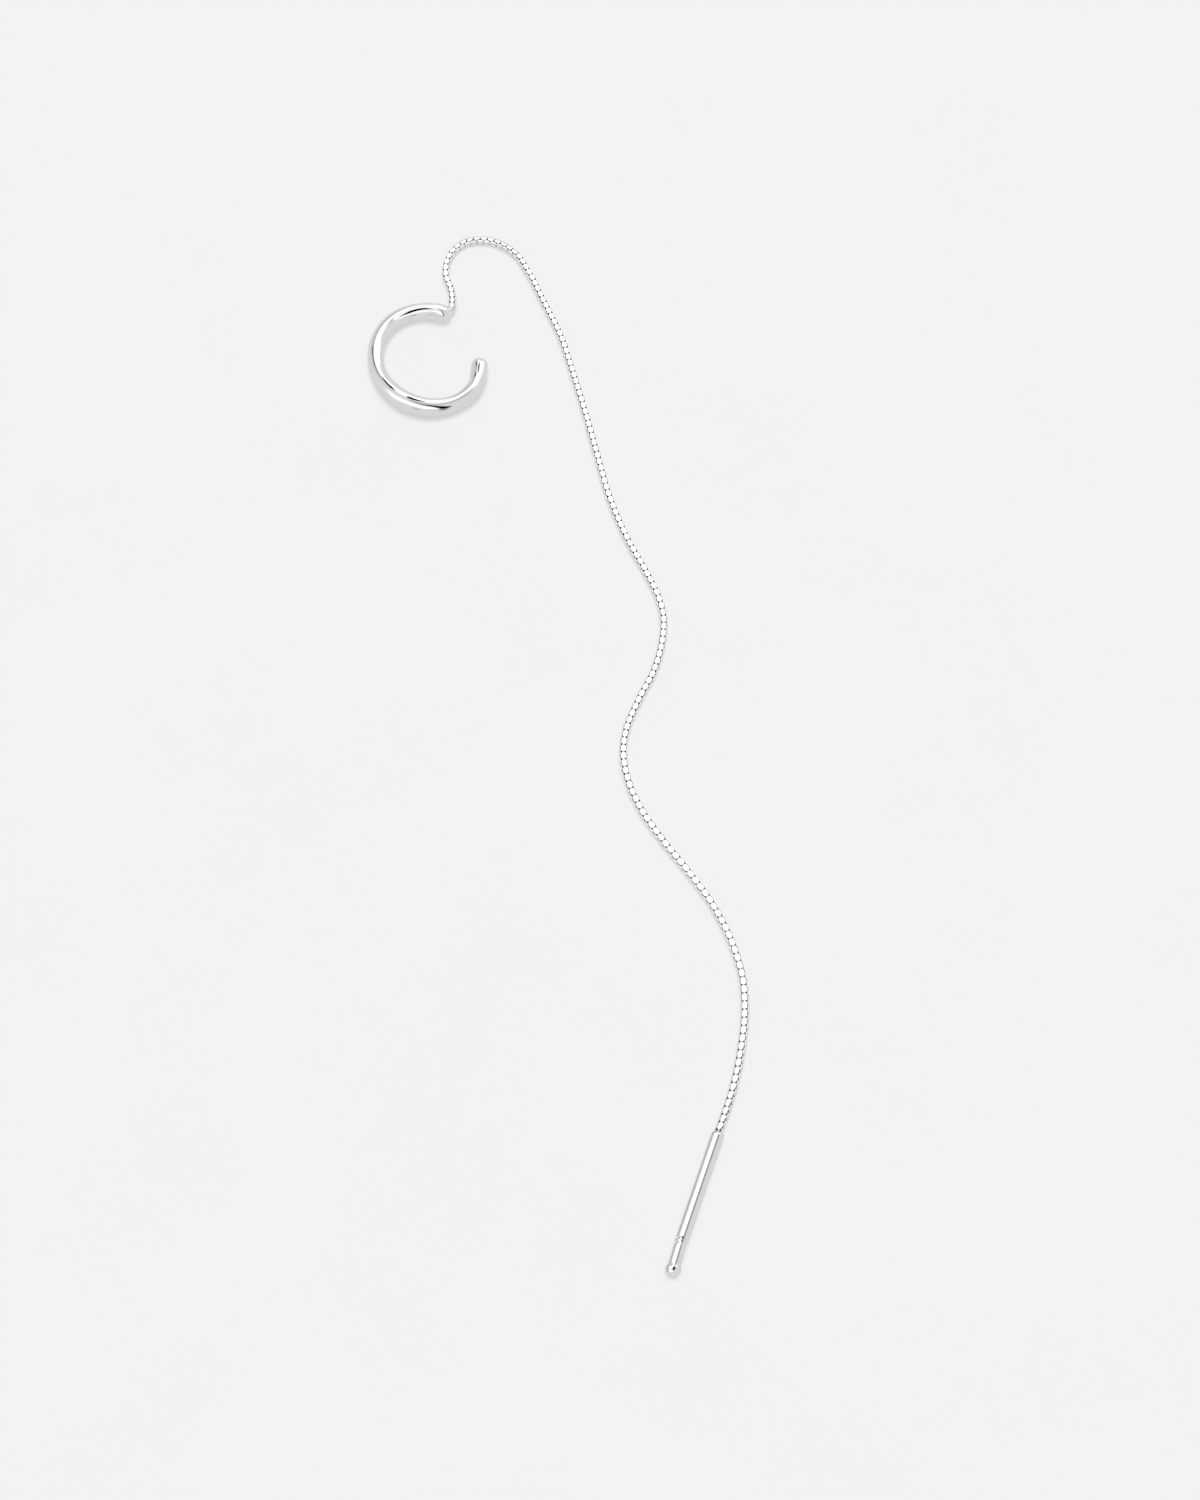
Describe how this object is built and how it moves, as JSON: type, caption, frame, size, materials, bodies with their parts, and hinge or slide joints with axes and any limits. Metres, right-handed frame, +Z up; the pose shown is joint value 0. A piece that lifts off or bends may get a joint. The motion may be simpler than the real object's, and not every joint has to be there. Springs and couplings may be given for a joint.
{
  "type": "ear chain earring",
  "caption": "Polished silver ear chain lying flat: an open ear cuff of round wire, a fine box chain and a threader bar with a ball tip.",
  "frame": {"origin": "on the surface that the earring lies on, under the middle of its whole outline", "axes": "+Z up from the surface, +Y from the threader bar toward the ear cuff, +X to the right seen from above"},
  "size_m": [0.033, 0.0939, 0.0017],
  "materials": {
    "cuff_silver": "polished sterling silver",
    "chain_silver": "polished sterling silver",
    "bar_silver": "polished sterling silver"
  },
  "bodies": {
    "root": {"ear_cuff": "cuff_silver", "box_chain": "chain_silver", "threader_bar": "bar_silver"}
  },
  "joints": []
}
